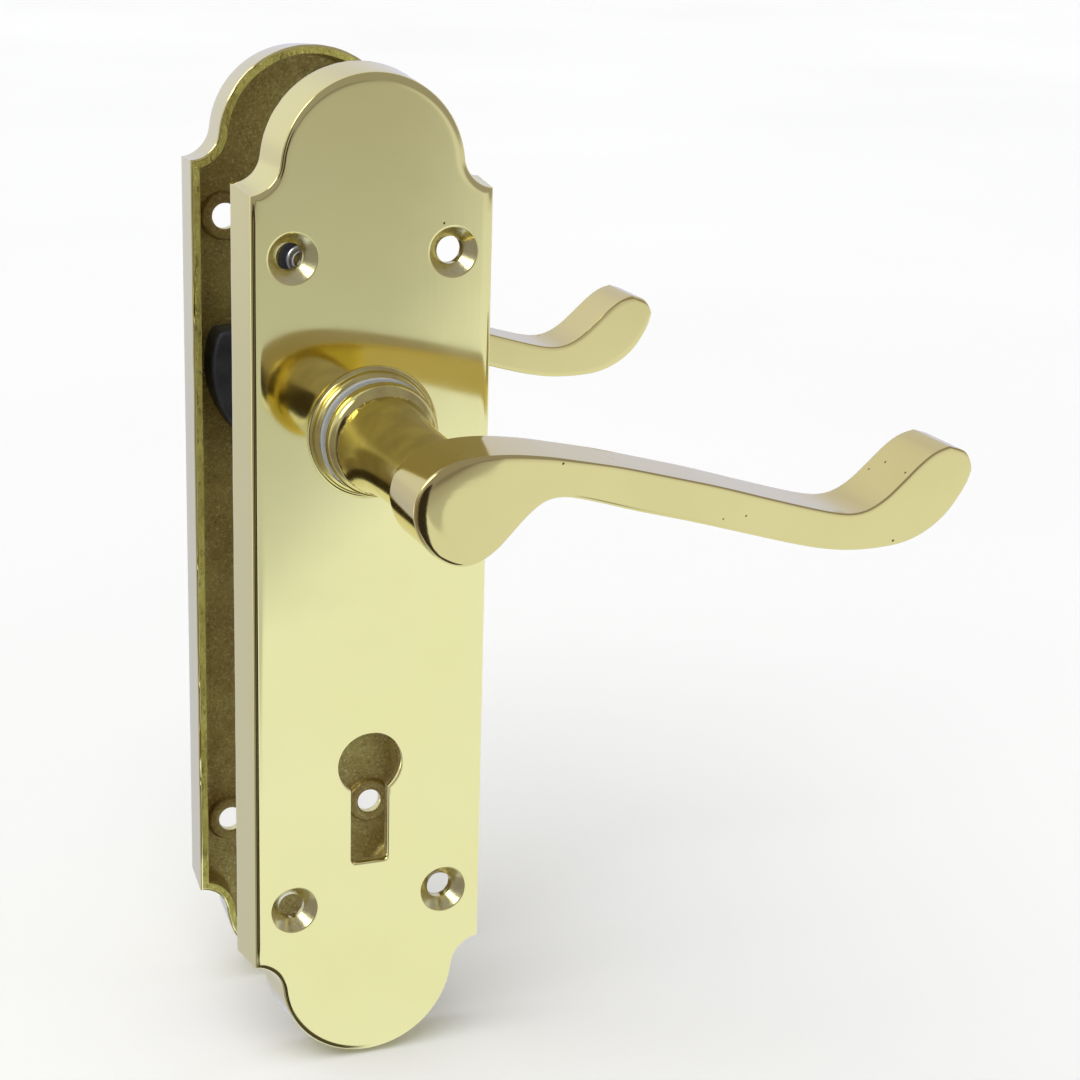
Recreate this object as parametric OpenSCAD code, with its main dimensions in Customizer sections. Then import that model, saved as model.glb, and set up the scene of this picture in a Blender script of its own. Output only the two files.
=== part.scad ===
// Pair of cast brass scroll lever handles on arched lock backplates.
// The two handles are mirror images that share one square spindle.
// Origin: spindle axis, in the plane where the front plate meets the door.
// +X along the levers, +Y from the front handle to the rear one, +Z up.

/* [Backplate] */
// Width of the backplate
plate_w = 41; // [40.6:0.2:44]
// Overall height of the backplate
plate_h = 168; // [160:1:180]
// Depth of the backplate from its rim to its face
plate_t = 9.5; // [9.5:0.25:12]
// Thickness of the plate's face wall
face_wall = 2.3; // [2:0.1:3]
// Thickness of the plate's side wall
side_wall = 1.6; // [1.2:0.1:1.8]
// Radius of the arch at each end
arch_r = 15.8; // [15:0.1:16.5]
// Height of the shoulders above the plate's middle
shoulder = 65.5; // [62:0.5:67]
// Radius of the hollow between shoulder and arch
cove_r = 4.8; // [4.4:0.1:5]

/* [Screw holes] */
// Distance between the two columns of screw holes
screw_dx = 26.3; // [24:0.1:27]
// Distance between the two rows of screw holes
screw_dz = 110; // [104:1:116]
// Radius of each screw hole
screw_r = 2.2; // [2:0.1:2.4]
// Radius of each countersink at the face
sink_r = 3.9; // [3.5:0.1:4.3]

/* [Keyhole] */
// Distance from the spindle down to the keyhole's centre
key_drop = 57; // [48:0.5:61]
// Radius of the keyhole's round part
key_r = 5.5; // [5:0.1:6]
// Width of the keyhole's slot
key_w = 6.5; // [6:0.1:7]
// Length of the slot below the round part's centre
key_len = 17.6; // [15:0.2:19]

/* [Lever] */
// Distance from the plate's middle up to the spindle
spindle_up = 26.5; // [24:0.5:29]
// Depth of the lever's inner face above the door
grip_in = 42.2; // [41:0.2:44]
// Depth of the lever's outer face above the door
grip_out = 53.9; // [52:0.1:55]
// Width across the flats of the spindle
spindle_w = 8; // [7.6:0.1:8]
// Length of the spindle
spindle_len = 88; // [76:1:88]

/* [Fitted on the door] */
// Gap between the two plates' mounting planes
door_gap = 24.4; // [24:0.2:35]

/* [Hidden] */

brass = "#d8cf95";
cast_brass = "#8d7c3c";
steel = "#8e9094";
dark_steel = "#4a4b4f";
nylon = "#b9bcc2";

// Depths, measured outwards from the plane where the plate meets the door
floor_h = plate_t - face_wall;      // back of the face wall
bead_h = plate_t + 1.9;             // top of the bead round the spindle
flange_h = bead_h + 1;              // outer face of the bush's flange
collar_h = flange_h + 0.1;          // start of the lever's collar
spigot_end = 0;                     // inner end of the lever's spigot
cam_h = floor_h - 4.5;              // inner face of the drive cam
cam_t = 0.9;
cover_t = 0.7;
cover_h = cam_h - 0.1 - cover_t;    // outer face of the spring cover
washer_h = cover_h - 0.05 - 0.5;
clip_h = washer_h - 0.05 - 0.78;
socket_h = 33;                      // bottom of the spindle's socket

// Radii round the spindle
spigot_r = 7;
flat_x = 6.3;                       // half width across the spigot's flats
bush_r = 8;
bead_r = 10;
collar_r = 9.3;
neck_r = 6.6;                       // neck where it meets the grip
neck_drop = 0.6;                    // the neck sits this much below the spindle
coil_r = 8.25;
wire_r = 0.6;
pin_ring = 10.9;                    // circle that the stop pins stand on
pin_r = 1.1;
pin_top = floor_h - 2;
lug_half = 2.1;                     // half width of the cam's lug
lug_in = 10.3;                      // the lug's post runs from here
lug_out = 12.2;
cam_r = 8.7;

turn = 45;                          // travel of the lever
rest_a = -90 + turn / 2;            // direction of the lug at rest
stop_a = asin((lug_half + pin_r + 0.05) / pin_ring);
tail_a = rest_a - asin((lug_half + wire_r + 0.3) / pin_ring);
anchor_tail = 150;
anchor_a = anchor_tail - asin((pin_r + wire_r + 0.05) / pin_ring);

// Spring cover: a round cup with a flat top
cover_c = 3.2;
cover_r = 16.8;
cover_top = 9.8;
ear_t = 0.7;                        // its two flat ears lie on the face wall
rivet_y = [20.5, -17.5];            // one rivet above the spindle, one below
ear_r = 3.6;
rivet_r = 1.75;
rivet_bore = 1.3;                   // the rivets are tubes

// Plate outline, derived
arch_z = plate_h / 2 - arch_r;
cove_z = shoulder + cove_r;
cove_x = sqrt(pow(arch_r + cove_r, 2) - pow(cove_z - arch_z, 2));

$fn = 64;

// ---- curves -------------------------------------------------------------

function catmull(a, b, c, d, t) =
    0.5 * (2 * b + (c - a) * t + (2 * a - 5 * b + 4 * c - d) * t * t
           + (3 * b - a - 3 * c + d) * t * t * t);

// Smooth curve through every point of p, n steps to a span
function smooth(p, n) = [
    for (i = [0 : len(p) - 2]) for (k = [0 : n - 1])
        catmull(p[max(i - 1, 0)], p[i], p[i + 1],
                p[min(i + 2, len(p) - 1)], k / n)
];

function bezier(a, b, c, d, n) = [
    for (k = [0 : n]) let (t = k / n, s = 1 - t)
        a * s * s * s + 3 * b * s * s * t + 3 * c * s * t * t + d * t * t * t
];

// ---- frames -------------------------------------------------------------

// Each handle is drawn flat: x along the lever, y up, z out from the door
module front() { rotate([90, 0, 0]) children(); }
module rear() { translate([0, door_gap, 0]) mirror([0, 1, 0]) front() children(); }

// ---- backplate ----------------------------------------------------------

// Arched outline about the plate's middle, drawn in by i
module outline(i = 0) {
    hw = plate_w / 2 - i;
    square([2 * hw, 2 * (shoulder - i)], center = true);
    for (s = [0, 1]) mirror([0, s]) {
        translate([0, arch_z]) circle(arch_r - i, $fn = 96);
        difference() {
            polygon([[-hw, shoulder - i - 2], [hw, shoulder - i - 2],
                     [hw, cove_z], [0, arch_z], [-hw, cove_z]]);
            for (m = [-1, 1]) translate([m * cove_x, cove_z])
                circle(cove_r + i, $fn = 48);
        }
    }
}

module at_screws() {
    for (x = [-1, 1], y = [-1, 1])
        translate([x * screw_dx / 2, y * screw_dz / 2 - spindle_up, 0])
            children();
}

module at_rivets() {
    for (y = rivet_y) translate([0, y, 0]) children();
}

module at_pins() {
    for (a = [rest_a + stop_a, rest_a - turn - stop_a, anchor_a])
        rotate(a) translate([pin_ring, 0, 0]) children();
}

module keyhole() {
    translate([0, -key_drop]) {
        circle(key_r);
        translate([-key_w / 2, -key_len]) square([key_w, key_len]);
    }
}

module plate() {
    difference() {
        union() {
            difference() {
                translate([0, -spindle_up, 0])
                    linear_extrude(plate_t) outline();
                translate([0, -spindle_up, -1])
                    linear_extrude(floor_h + 1) outline(side_wall);
            }
            // bead round the spindle
            rotate_extrude() {
                translate([bush_r - 0.5, plate_t - 0.5])
                    square([1.5, bead_h - plate_t + 0.5]);
                intersection() {
                    translate([bead_r - 1.5, plate_t + 0.6]) circle(1.5, $fn = 32);
                    translate([0, plate_t - 0.5])
                        square([bead_r + 1, bead_h - plate_t + 0.5]);
                }
            }
            // bosses behind the screw holes
            at_screws() translate([0, 0, floor_h - 1.2]) cylinder(r = 4, h = 1.7);
        }
        // seat of the bush
        translate([0, 0, floor_h - 1]) cylinder(r = bush_r + 0.03, h = 8);
        at_screws() {
            translate([0, 0, -1]) cylinder(r = screw_r, h = plate_t + 2);
            translate([0, 0, plate_t - (sink_r - screw_r)])
                cylinder(r1 = screw_r, r2 = sink_r + 0.1, h = sink_r - screw_r + 0.1);
        }
        translate([0, 0, -1]) linear_extrude(plate_t + 2) keyhole();
        // blind holes for the pins and the cover's rivets
        at_pins() translate([0, 0, floor_h - 1])
            cylinder(r = pin_r + 0.02, h = 2.2, $fn = 32);
        at_rivets() translate([0, 0, floor_h - 1])
            cylinder(r = rivet_r + 0.02, h = 2.5, $fn = 32);
    }
}

// ---- lever --------------------------------------------------------------

// Scroll of the grip seen from outside, from the root round to the root
grip_top = [[-8.2, -1], [-7.5, 2.6], [-4.6, 5.6], [0, 7], [6, 7.3], [16, 5.8],
            [24, 4], [32, 2], [48, -2.5], [56, -4.8], [60.5, -6], [63.5, -6.2],
            [66.5, -5.4], [69.5, -3.4], [72.5, -0.8], [75.5, 1.7], [79.2, 3.2]];
grip_low = [[79.2, 3.2], [82, 2.1], [83.4, -0.5], [82.9, -3.1], [80.9, -6.3],
            [77.2, -9.6], [73.2, -11.6], [68, -12.3], [62, -12.2], [56, -11.2],
            [48, -8.95], [36, -5.4], [24, -2.3], [18, -0.5], [14.5, 0.2],
            [11.5, -0.3], [9.3, -2], [7, -4.2], [4.5, -6.8], [1.5, -8.7],
            [-1.5, -8.9], [-4, -7.8], [-6.6, -5.4], [-8.2, -1]];

module lever() {
    difference() {
        union() {
            // spigot, collar and neck
            rotate_extrude() {
                translate([0, spigot_end]) square([spigot_r, 18]);
                intersection() {
                    translate([collar_r - 1.95, collar_h + 1.85]) circle(1.95, $fn = 32);
                    translate([0, collar_h]) square([20, 20]);
                }
            }
            // hollow-sided neck behind the collar
            translate([0, -neck_drop, 0]) rotate_extrude()
                polygon(concat([[0, collar_h + 2.9], [7.9, collar_h + 2.9]],
                    bezier([8, collar_h + 3.7], [7.1, collar_h + 7.5],
                           [neck_r, collar_h + 12], [neck_r, grip_in + 1], 10),
                    [[0, grip_in + 1]]));
            // grip
            translate([0, 0, grip_in]) linear_extrude(grip_out - grip_in)
                polygon(concat(smooth(grip_top, 4), smooth(grip_low, 4)));
        }
        // flats and circlip groove on the spigot
        for (m = [0, 1]) mirror([m, 0, 0])
            translate([flat_x, -8, 0]) cube([4, 16, cam_h + cam_t + 0.5]);
        translate([0, 0, clip_h]) difference() {
            cylinder(r = 8, h = 0.8);
            cylinder(r = 6.5, h = 0.8);
        }
        // socket for the spindle
        translate([-spindle_w / 2 - 0.05, -spindle_w / 2 - 0.05, -1])
            cube([spindle_w + 0.1, spindle_w + 0.1, socket_h + 1]);
        // tapped hole for the grub screw
        translate([0, 0, 24]) rotate([90, 0, 0]) cylinder(r = 2.5, h = 12, $fn = 32);
    }
}

module bush() {
    rotate_extrude() {
        translate([spigot_r + 0.05, floor_h])
            square([bush_r - spigot_r - 0.05, flange_h - floor_h]);
        translate([spigot_r + 0.05, bead_h])
            square([9.4 - spigot_r - 0.05, flange_h - bead_h]);
    }
}

// ---- spring mechanism behind the plate ----------------------------------

module double_d(r, x) {
    intersection() {
        circle(r);
        square([2 * x, 2 * r + 2], center = true);
    }
}

module drive_cam() {
    difference() {
        union() {
            translate([0, 0, cam_h]) cylinder(r = cam_r, h = cam_t);
            rotate(rest_a) {
                translate([8, -lug_half, cam_h]) cube([lug_out - 8, 2 * lug_half, cam_t]);
                translate([lug_in, -lug_half, cam_h])
                    cube([lug_out - lug_in, 2 * lug_half, floor_h - 1 - cam_h]);
            }
        }
        translate([0, 0, cam_h - 1]) linear_extrude(cam_t + 2)
            double_d(spigot_r + 0.05, flat_x + 0.05);
    }
}

// Round wire along the points p, seen as 8 flats
module wire(p, r) {
    n = len(p);
    s = 8;
    pts = [for (i = [0 : n - 1])
        let (t = p[min(i + 1, n - 1)] - p[max(i - 1, 0)],
             side = cross(t, [0, 0, 1]) / norm(cross(t, [0, 0, 1])),
             up = cross(side, t) / norm(cross(side, t)))
        for (k = [0 : s - 1])
            p[i] + r * (side * cos(360 * k / s) + up * sin(360 * k / s))];
    polyhedron(pts, concat(
        [[for (k = [0 : s - 1]) k]],
        [[for (k = [s - 1 : -1 : 0]) (n - 1) * s + k]],
        [for (i = [0 : n - 2], k = [0 : s - 1])
            [i * s + k, (i + 1) * s + k, (i + 1) * s + (k + 1) % s, i * s + (k + 1) % s]]),
        convexity = 8);
}

function polar(r, a, h) = [r * cos(a), r * sin(a), h];

module return_spring() {
    low = floor_h - wire_r - 0.1;
    top = cam_h + cam_t + wire_r + 0.15;
    sweep = anchor_tail - tail_a + 360 - 12;
    wire(concat(
        [polar(12.1, anchor_tail, low), polar(10.5, anchor_tail, low),
         polar(9.4, anchor_tail - 1, low), polar(8.6, anchor_tail - 3, low)],
        [for (k = [0 : 38])
            polar(coil_r, anchor_tail - 6 - sweep * k / 38, low + (top - low) * k / 38)],
        [polar(8.6, tail_a + 3, top), polar(9.4, tail_a + 1, top),
         polar(10.5, tail_a, top), polar(12.1, tail_a, top)]), wire_r);
}

module stop_pins() {
    at_pins() translate([0, 0, pin_top])
        cylinder(r = pin_r, h = floor_h + 1.1 - pin_top, $fn = 32);
}

module cup(i) {
    intersection() {
        translate([0, cover_c]) circle(cover_r - i, $fn = 96);
        translate([-20, cover_top - i - 40]) square([40, 40]);
    }
}

module spring_cover() {
    difference() {
        union() {
            translate([0, 0, cover_h]) linear_extrude(floor_h - 0.02 - cover_h) cup(0);
            // ears, top and bottom
            translate([0, 0, floor_h - 0.02 - ear_t]) {
                at_rivets() cylinder(r = ear_r, h = ear_t);
                translate([-ear_r, cover_top - 1, 0])
                    cube([2 * ear_r, rivet_y[0] - cover_top + 1, ear_t]);
                translate([-ear_r, rivet_y[1], 0])
                    cube([2 * ear_r, 6, ear_t]);
            }
        }
        translate([0, 0, cover_h + cover_t]) linear_extrude(10) cup(cover_t);
        translate([0, 0, -1]) cylinder(r = spigot_r + 0.3, h = 5);
        at_rivets() cylinder(r = rivet_r + 0.05, h = 10, $fn = 32);
    }
}

// Tubular rivets with a rolled head
module cover_rivets() {
    at_rivets() difference() {
        union() {
            translate([0, 0, floor_h - 1.6]) cylinder(r = 2.6, h = 1.6 - 0.02 - ear_t, $fn = 48);
            translate([0, 0, floor_h - 1.2]) cylinder(r = rivet_r, h = 2.6, $fn = 32);
        }
        translate([0, 0, floor_h - 2]) cylinder(r = rivet_bore, h = 2.4, $fn = 24);
    }
}

module thrust_washer() {
    translate([0, 0, washer_h]) difference() {
        cylinder(r = 9.2, h = 0.5);
        translate([0, 0, -1]) cylinder(r = spigot_r + 0.05, h = 3);
    }
}

module circlip() {
    translate([0, 0, clip_h + 0.01]) difference() {
        union() {
            cylinder(r = 8.5, h = 0.77);
            for (a = [-16, 16]) rotate(90 + a) translate([8.6, 0, 0])
                cylinder(r = 1.2, h = 0.77, $fn = 32);
        }
        translate([0, 0, -1]) cylinder(r = 6.53, h = 3);
        translate([0, 0, -1]) linear_extrude(3)
            polygon([[0, 0], [-1.6, 12], [1.6, 12]]);
        for (a = [-16, 16]) rotate(90 + a) translate([8.8, 0, -1])
            cylinder(r = 0.5, h = 3, $fn = 16);
    }
}

module grub_screw() {
    translate([0, -spindle_w / 2 - 0.06, 24]) rotate([90, 0, 0]) difference() {
        cylinder(r = 2.45, h = 3.05, $fn = 32);
        translate([0, 0, 1.6]) cylinder(r = 1.44, h = 3, $fn = 6);
    }
}

// ---- nodes --------------------------------------------------------------

module front_plate() { color(brass) front() plate(); }
module front_lever() { color(brass) front() lever(); }
module front_bush() { color(nylon) front() bush(); }
module front_drive_cam() { color(steel) front() drive_cam(); }
module front_return_spring() { color(steel) front() return_spring(); }
module front_stop_pins() { color(steel) front() stop_pins(); }
module front_spring_cover() { color(dark_steel) front() spring_cover(); }
module front_cover_rivets() { color(steel) front() cover_rivets(); }
module front_thrust_washer() { color(steel) front() thrust_washer(); }
module front_circlip() { color(dark_steel) front() circlip(); }
module front_grub_screw() { color(dark_steel) front() grub_screw(); }

module rear_plate() { color(cast_brass) rear() plate(); }
module rear_lever() { color(brass) rear() lever(); }
module rear_bush() { color(nylon) rear() bush(); }
module rear_drive_cam() { color(steel) rear() drive_cam(); }
module rear_return_spring() { color(steel) rear() return_spring(); }
module rear_stop_pins() { color(steel) rear() stop_pins(); }
module rear_spring_cover() { color(dark_steel) rear() spring_cover(); }
module rear_cover_rivets() { color(steel) rear() cover_rivets(); }
module rear_thrust_washer() { color(steel) rear() thrust_washer(); }
module rear_circlip() { color(dark_steel) rear() circlip(); }
module rear_grub_screw() { color(dark_steel) rear() grub_screw(); }

// Square bar from the front lever's socket into the rear lever's
module spindle() {
    color(steel) translate([-spindle_w / 2, -socket_h + 1, -spindle_w / 2])
        cube([spindle_w, spindle_len, spindle_w]);
}

front_plate();
front_lever();
front_bush();
front_drive_cam();
front_return_spring();
front_stop_pins();
front_spring_cover();
front_cover_rivets();
front_thrust_washer();
front_circlip();
front_grub_screw();
rear_plate();
rear_lever();
rear_bush();
rear_drive_cam();
rear_return_spring();
rear_stop_pins();
rear_spring_cover();
rear_cover_rivets();
rear_thrust_washer();
rear_circlip();
rear_grub_screw();
spindle();
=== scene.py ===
"""Looks of a pair of scroll lever handles on arched lock plates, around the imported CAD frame.
Everything is drawn in a bench frame (x along the lever, y up the plate, h outwards from the door, in
millimetres) and then put on the front or the rear side of the door."""
import math

import bmesh
import bpy
import numpy as np
from mathutils import Matrix, Vector, noise
from mathutils.geometry import delaunay_2d_cdt


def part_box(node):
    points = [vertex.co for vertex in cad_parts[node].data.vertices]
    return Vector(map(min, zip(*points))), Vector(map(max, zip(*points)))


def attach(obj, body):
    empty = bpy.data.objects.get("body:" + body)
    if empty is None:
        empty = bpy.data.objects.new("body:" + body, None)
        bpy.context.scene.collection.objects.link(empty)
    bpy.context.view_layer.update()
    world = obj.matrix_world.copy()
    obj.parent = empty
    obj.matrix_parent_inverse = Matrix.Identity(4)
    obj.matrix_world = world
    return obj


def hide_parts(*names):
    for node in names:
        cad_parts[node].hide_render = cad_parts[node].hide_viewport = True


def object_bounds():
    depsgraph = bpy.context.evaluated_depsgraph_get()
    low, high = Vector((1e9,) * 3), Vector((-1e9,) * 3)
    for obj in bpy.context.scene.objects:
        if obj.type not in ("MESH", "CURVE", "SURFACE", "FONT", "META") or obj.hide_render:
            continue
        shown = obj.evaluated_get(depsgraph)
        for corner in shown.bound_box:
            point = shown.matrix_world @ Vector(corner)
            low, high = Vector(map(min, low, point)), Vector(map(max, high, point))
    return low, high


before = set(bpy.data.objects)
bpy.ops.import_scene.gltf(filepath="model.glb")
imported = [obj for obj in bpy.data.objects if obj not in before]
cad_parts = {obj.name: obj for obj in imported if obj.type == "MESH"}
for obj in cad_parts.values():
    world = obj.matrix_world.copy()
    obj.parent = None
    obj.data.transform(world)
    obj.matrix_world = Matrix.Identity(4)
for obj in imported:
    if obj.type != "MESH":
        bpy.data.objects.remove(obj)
cad_lo, cad_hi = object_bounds()

# ------------------------------------------------------------------ sizes, mm
PLATE_W, PLATE_H, PLATE_T = 41.0, 168.0, 9.5
SPINDLE_UP = 26.5
GAP = round((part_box("rear_plate")[0].y) * 1000, 3)   # rear plate's mounting plane
ARCH_R, SHOULDER, COVE_R = 15.8, 65.5, 4.8
ARCH_Z = PLATE_H / 2 - ARCH_R
COVE_Z = SHOULDER + COVE_R
COVE_X = math.sqrt((ARCH_R + COVE_R) ** 2 - (COVE_Z - ARCH_Z) ** 2)
FLOOR = 7.2
BEAD_TOP = 11.4
FLANGE = 12.4
COLLAR = 12.5
GRIP_IN, GRIP_OUT = 42.2, 53.9
SCREW_X, SCREW_Z = 13.15, 55.0
KEY_Z, KEY_R, KEY_W, KEY_LEN = -57.0, 5.5, 6.5, 17.6
RIVETS = (20.5, -17.5)
SIDES = ("front", "rear")


# ------------------------------------------------------------------ mesh kit
class Mesh:
    """Vertices in the bench frame and faces with a material number each."""

    def __init__(self):
        self.v, self.f, self.m = [], [], []

    def ring(self, pts):
        n = len(self.v)
        self.v.extend([tuple(map(float, p)) for p in pts])
        return list(range(n, len(self.v)))

    def strip(self, a, b, mat=0, closed=True):
        n = len(a)
        for i in range(n if closed else n - 1):
            j = (i + 1) % n
            self.f.append((a[i], a[j], b[j], b[i]))
            self.m.append(mat)

    def strips(self, rings, mat=0, closed=True):
        for a, b in zip(rings[:-1], rings[1:]):
            self.strip(a, b, mat, closed)

    def face(self, idx, mat=0):
        self.f.append(tuple(idx))
        self.m.append(mat)

    def fill(self, outer, holes=(), inner=(), height=None, mat=0):
        """Triangles between the ring outer and the rings holes, through the extra points inner."""
        loops = [outer, *holes]
        src = [i for lp in loops for i in lp]
        pts = [Vector(self.v[i][:2]) for i in src]
        edges, k = [], 0
        for lp in loops:
            edges += [(k + i, k + (i + 1) % len(lp)) for i in range(len(lp))]
            k += len(lp)
        pts += [Vector(p) for p in inner]
        out_v, _, out_f, orig_v, _, _ = delaunay_2d_cdt(pts, edges, [], 0, 1e-7)
        flat = [np.array([self.v[i][:2] for i in lp]) for lp in loops]
        name = []
        for co, orig in zip(out_v, orig_v):
            ids = [o for o in orig if o < len(src)]
            if ids:
                name.append(src[ids[0]])
            else:
                name.append(len(self.v))
                self.v.append((co.x, co.y, height(co.x, co.y)))
        cen = np.array([sum((np.array(out_v[i]) for i in t), np.zeros(2)) / len(t) for t in out_f])
        keep = inside(cen, flat[0])
        for lp in flat[1:]:
            keep &= ~inside(cen, lp)
        for t, ok in zip(out_f, keep):
            if ok:
                self.face([name[i] for i in t], mat)

    def build(self, name, side, mats, angle=35.0, merge=1e-4, calc=True):
        """The bench mesh as a Blender object on that side of the door."""
        v = np.array(self.v, float)
        if side == "front":
            w = np.c_[v[:, 0], -v[:, 2], v[:, 1]]
        elif side == "rear":
            w = np.c_[v[:, 0], GAP + v[:, 2], v[:, 1]]
        else:
            w = v
        me = bpy.data.meshes.new(name)
        me.from_pydata((w * 0.001).tolist(), [], self.f)
        for m in mats:
            me.materials.append(m)
        me.polygons.foreach_set("material_index", self.m)
        ob = bpy.data.objects.new(name, me)
        bpy.context.scene.collection.objects.link(ob)
        tidy(ob, angle, merge * 0.001, calc)
        return ob


def inside(p, loop):
    """Which of the points p lie in the closed polygon loop."""
    x, y = p[:, 0], p[:, 1]
    a, b = loop, np.roll(loop, -1, axis=0)
    hit = np.zeros(len(p), bool)
    for (x0, y0), (x1, y1) in zip(a, b):
        if y0 == y1:
            continue
        c = ((y0 > y) != (y1 > y)) & (x < (x1 - x0) * (y - y0) / (y1 - y0) + x0)
        hit ^= c
    return hit


def tidy(ob, angle=35.0, merge=1e-7, calc=True):
    bm = bmesh.new()
    bm.from_mesh(ob.data)
    if merge:
        bmesh.ops.remove_doubles(bm, verts=bm.verts, dist=merge)
    bmesh.ops.dissolve_degenerate(bm, edges=bm.edges, dist=1e-8)
    if calc:
        bmesh.ops.recalc_face_normals(bm, faces=bm.faces)
    bm.to_mesh(ob.data)
    bm.free()
    ob.data.polygons.foreach_set("use_smooth", [True] * len(ob.data.polygons))
    ob.data.set_sharp_from_angle(angle=math.radians(angle))
    ob.data.update()


def circle(r, n, cx=0.0, cy=0.0, h=0.0, a0=0.0):
    return [(cx + r * math.cos(a0 + 2 * math.pi * k / n), cy + r * math.sin(a0 + 2 * math.pi * k / n), h) for k in range(n)]


def revolve(me, profile, n=96, mat=0, jitter=None):
    """Rings of the profile [(r, h), ...] about the spindle; a radius of 0 closes an end."""
    rings = []
    for r, h in profile:
        pts = circle(r, n, h=h)
        if jitter:
            pts = [jitter(p) for p in pts]
        rings.append(me.ring(pts))
    me.strips(rings, mat)
    return rings


def boolean(ob, other, how):
    m = ob.modifiers.new("b", "BOOLEAN")
    m.operation, m.object, m.solver = how, other, "EXACT"
    dg = bpy.context.evaluated_depsgraph_get()
    me = bpy.data.meshes.new_from_object(ob.evaluated_get(dg))
    ob.modifiers.clear()
    old = ob.data
    ob.data = me
    bpy.data.meshes.remove(old)
    bpy.data.objects.remove(other)


def drop_specks(ob):
    """Delete the loose specks, under 0.05 mm2, that the unions leave along their seams."""
    bm = bmesh.new()
    bm.from_mesh(ob.data)
    bmesh.ops.triangulate(bm, faces=[f for f in bm.faces if len(f.verts) > 4])
    bm.faces.ensure_lookup_table()
    seen, gone = set(), []
    for f in bm.faces:
        if f.index in seen:
            continue
        seen.add(f.index)
        part, todo = [], [f]
        while todo:
            q = todo.pop()
            part.append(q)
            for e in q.edges:
                if len(e.link_faces) == 2:
                    for o in e.link_faces:
                        if o.index not in seen:
                            seen.add(o.index)
                            todo.append(o)
        if len(part) < 60 and sum(q.calc_area() for q in part) < 5e-8:
            gone += part
    bmesh.ops.delete(bm, geom=gone, context="FACES")
    bm.to_mesh(ob.data)
    bm.free()


def grid_points(x0, x1, y0, y1, step, loops, clear, holes):
    """A staggered grid inside the first loop, away from every loop by clear."""
    pts, row, y = [], 0, y0
    while y <= y1:
        x = x0 + (step / 2 if row % 2 else 0)
        while x <= x1:
            pts.append((x, y))
            x += step
        y += step * 0.866
        row += 1
    p = np.array(pts)
    ok = inside(p, loops[0])
    for lp in holes:
        ok &= ~inside(p, lp)
    p = p[ok]
    far = np.full(len(p), 1e9)
    for lp in [*loops, *holes]:
        a, b = lp, np.roll(lp, -1, axis=0)
        for s, e in zip(a, b):
            d = e - s
            t = np.clip(((p - s) @ d) / max(d @ d, 1e-12), 0, 1)
            far = np.minimum(far, np.hypot(*(p - s - t[:, None] * d).T))
    return [tuple(q) for q in p[far > clear]]


def flat2(me, ring):
    return np.array([me.v[i][:2] for i in ring])


# ------------------------------------------------------------------ plate outline
def outline(i, h, n_side=18, n_cove=12, n_arch=22):
    """The arched outline drawn in by i, as one closed ring at height h."""
    hw = PLATE_W / 2 - i
    rc = COVE_R + i
    dx = COVE_X - hw
    yc = COVE_Z - math.sqrt(max(rc * rc - dx * dx, 1e-9))
    q = [(hw, yc * k / n_side) for k in range(n_side)]
    a0 = math.atan2(yc - COVE_Z, hw - COVE_X) % (2 * math.pi)
    a1 = math.atan2(ARCH_Z - COVE_Z, -COVE_X) % (2 * math.pi)
    q += [(COVE_X + rc * math.cos(a0 + (a1 - a0) * k / n_cove), COVE_Z + rc * math.sin(a0 + (a1 - a0) * k / n_cove)) for k in range(n_cove)]
    b0 = math.atan2(COVE_Z - ARCH_Z, COVE_X)
    q += [((ARCH_R - i) * math.cos(b0 + (math.pi / 2 - b0) * k / n_arch), ARCH_Z + (ARCH_R - i) * math.sin(b0 + (math.pi / 2 - b0) * k / n_arch)) for k in range(n_arch + 1)]
    left = [(-x, y) for x, y in q[::-1][1:]]
    up = q + left                       # from (hw, 0) over the top to (-hw, 0)
    down = [(x, -y) for x, y in up[::-1][1:-1]]
    return [(x, y - SPINDLE_UP, h) for x, y in up + down]


def keyhole(off, h, n=40):
    """The keyhole opened out by off."""
    r, w = KEY_R + off, KEY_W / 2 + off
    bottom, f = KEY_Z - KEY_LEN - off, 0.9
    a = math.asin(w / r)
    pts = [(r * math.sin(t), KEY_Z - r * math.cos(t)) for t in [a + (2 * math.pi - 2 * a) * k / n for k in range(n + 1)]]
    y1 = pts[-1][1]
    side = [(-w, y1 + (bottom + f - y1) * k / 8) for k in range(1, 8)]
    c1 = [(-w + f - f * math.cos(t), bottom + f - f * math.sin(t)) for t in [math.pi / 2 * k / 5 for k in range(6)]]
    low = [(-w + f + (2 * w - 2 * f) * k / 4, bottom) for k in range(1, 4)]
    pts += side + c1 + low
    pts += [(-x, y) for x, y in (side + c1)[::-1]]
    return [(x, y, h) for x, y in pts]


def fbm(x, y, z, s):
    return noise.fractal(Vector((x * s, y * s, z * s)), 0.9, 2.0, 3, noise_basis="PERLIN_ORIGINAL")


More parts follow.
